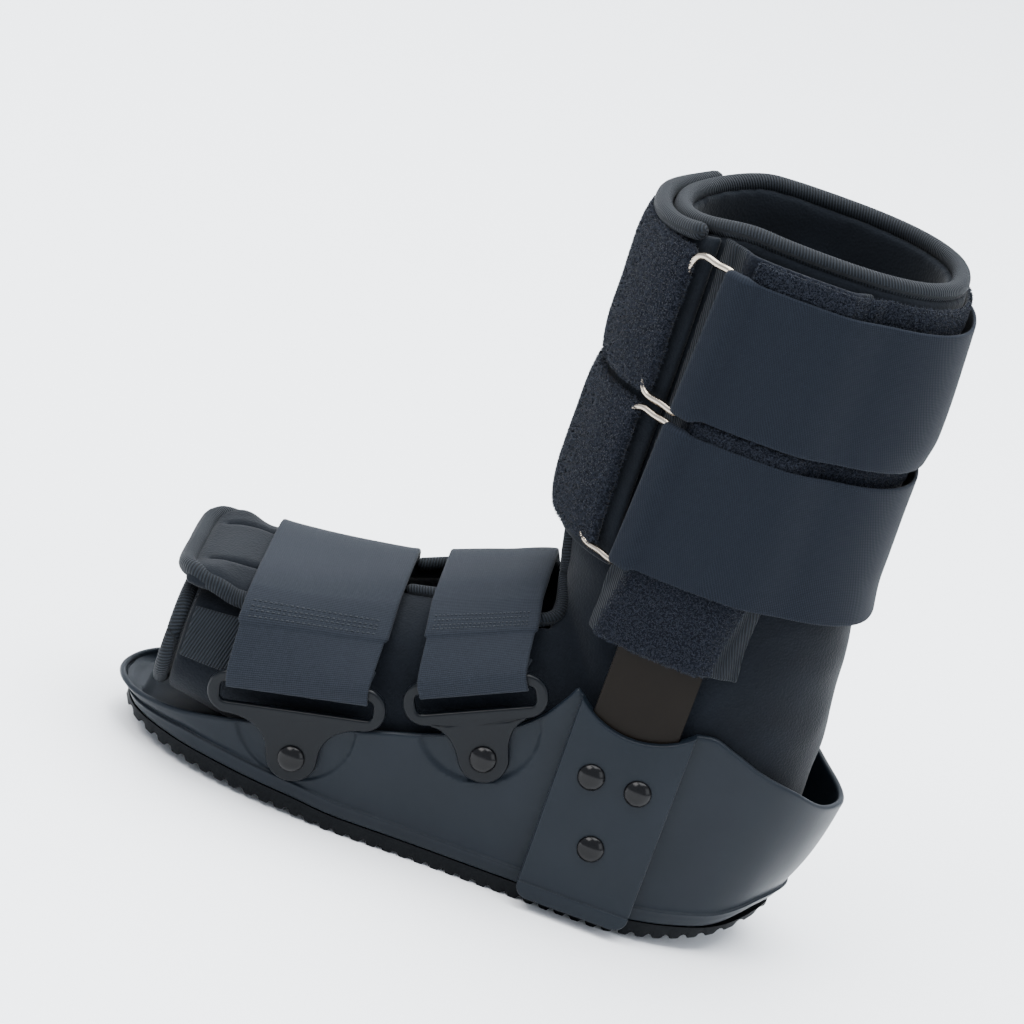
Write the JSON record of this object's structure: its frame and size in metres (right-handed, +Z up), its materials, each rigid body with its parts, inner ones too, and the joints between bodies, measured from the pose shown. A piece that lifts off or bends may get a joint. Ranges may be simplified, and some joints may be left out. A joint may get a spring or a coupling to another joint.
{
  "type": "medical walking boot",
  "caption": "Short orthopaedic walking boot: plastic tub on a ribbed rocker sole, metal uprights, padded open-toe bootie, foot and leg straps with wire rings.",
  "frame": {"origin": "on the floor under the middle of the sole, halfway between the boot's sides", "axes": "+Z up, -X towards the toe, -Y towards the wearer's left side, where the wire rings are"},
  "size_m": [0.265, 0.1144, 0.2644],
  "materials": {
    "shell_plastic": "satin charcoal, moulded",
    "loop_plastic": "semi-gloss black, moulded",
    "rivet_black": "glossy black enamel",
    "sole_rubber": "matt black, ribbed",
    "strut_metal": "dark bronzed, satin",
    "ring_wire": "pale nickel plated wire",
    "liner_velour": "black knitted velour over foam",
    "pile": "fuzzy navy black loop pile",
    "leg_webbing": "dark grey woven webbing with a fine twill",
    "foot_webbing": "dark grey elastic webbing with rows of stitching",
    "trim_tape": "ribbed grosgrain tape"
  },
  "bodies": {
    "root": {"shell": "shell_plastic", "outsole": "sole_rubber", "liner": "liner_velour", "toe_flap": "liner_velour", "toe_flap_trim": "trim_tape", "top_trim": "trim_tape", "toe_trim": "trim_tape", "shin_flap": "liner_velour", "shin_flap_trim": "trim_tape", "toe_strap": "foot_webbing", "instep_strap": "foot_webbing", "shin_strap_lower": "pile", "shin_strap_upper": "pile", "calf_pile_lower": "pile", "calf_pile_upper": "pile", "calf_webbing_lower": "leg_webbing", "calf_webbing_upper": "leg_webbing", "ring_lower": "ring_wire", "ring_upper": "ring_wire", "strut_left": "strut_metal", "strut_right": "strut_metal", "sleeve_left": "pile", "sleeve_right": "pile", "toe_patch_left": "trim_tape", "toe_patch_right": "trim_tape", "instep_binding_left": "trim_tape", "instep_binding_right": "trim_tape", "strut_rivet_front_left": "rivet_black", "strut_rivet_back_left": "rivet_black", "strut_rivet_low_left": "rivet_black", "strut_rivet_front_right": "rivet_black", "strut_rivet_back_right": "rivet_black", "strut_rivet_low_right": "rivet_black", "toe_loop_left": "loop_plastic", "toe_loop_right": "loop_plastic", "instep_loop_left": "loop_plastic", "instep_loop_right": "loop_plastic", "toe_loop_rivet_left": "rivet_black", "toe_loop_rivet_right": "rivet_black", "instep_loop_rivet_left": "rivet_black", "instep_loop_rivet_right": "rivet_black"}
  },
  "joints": []
}
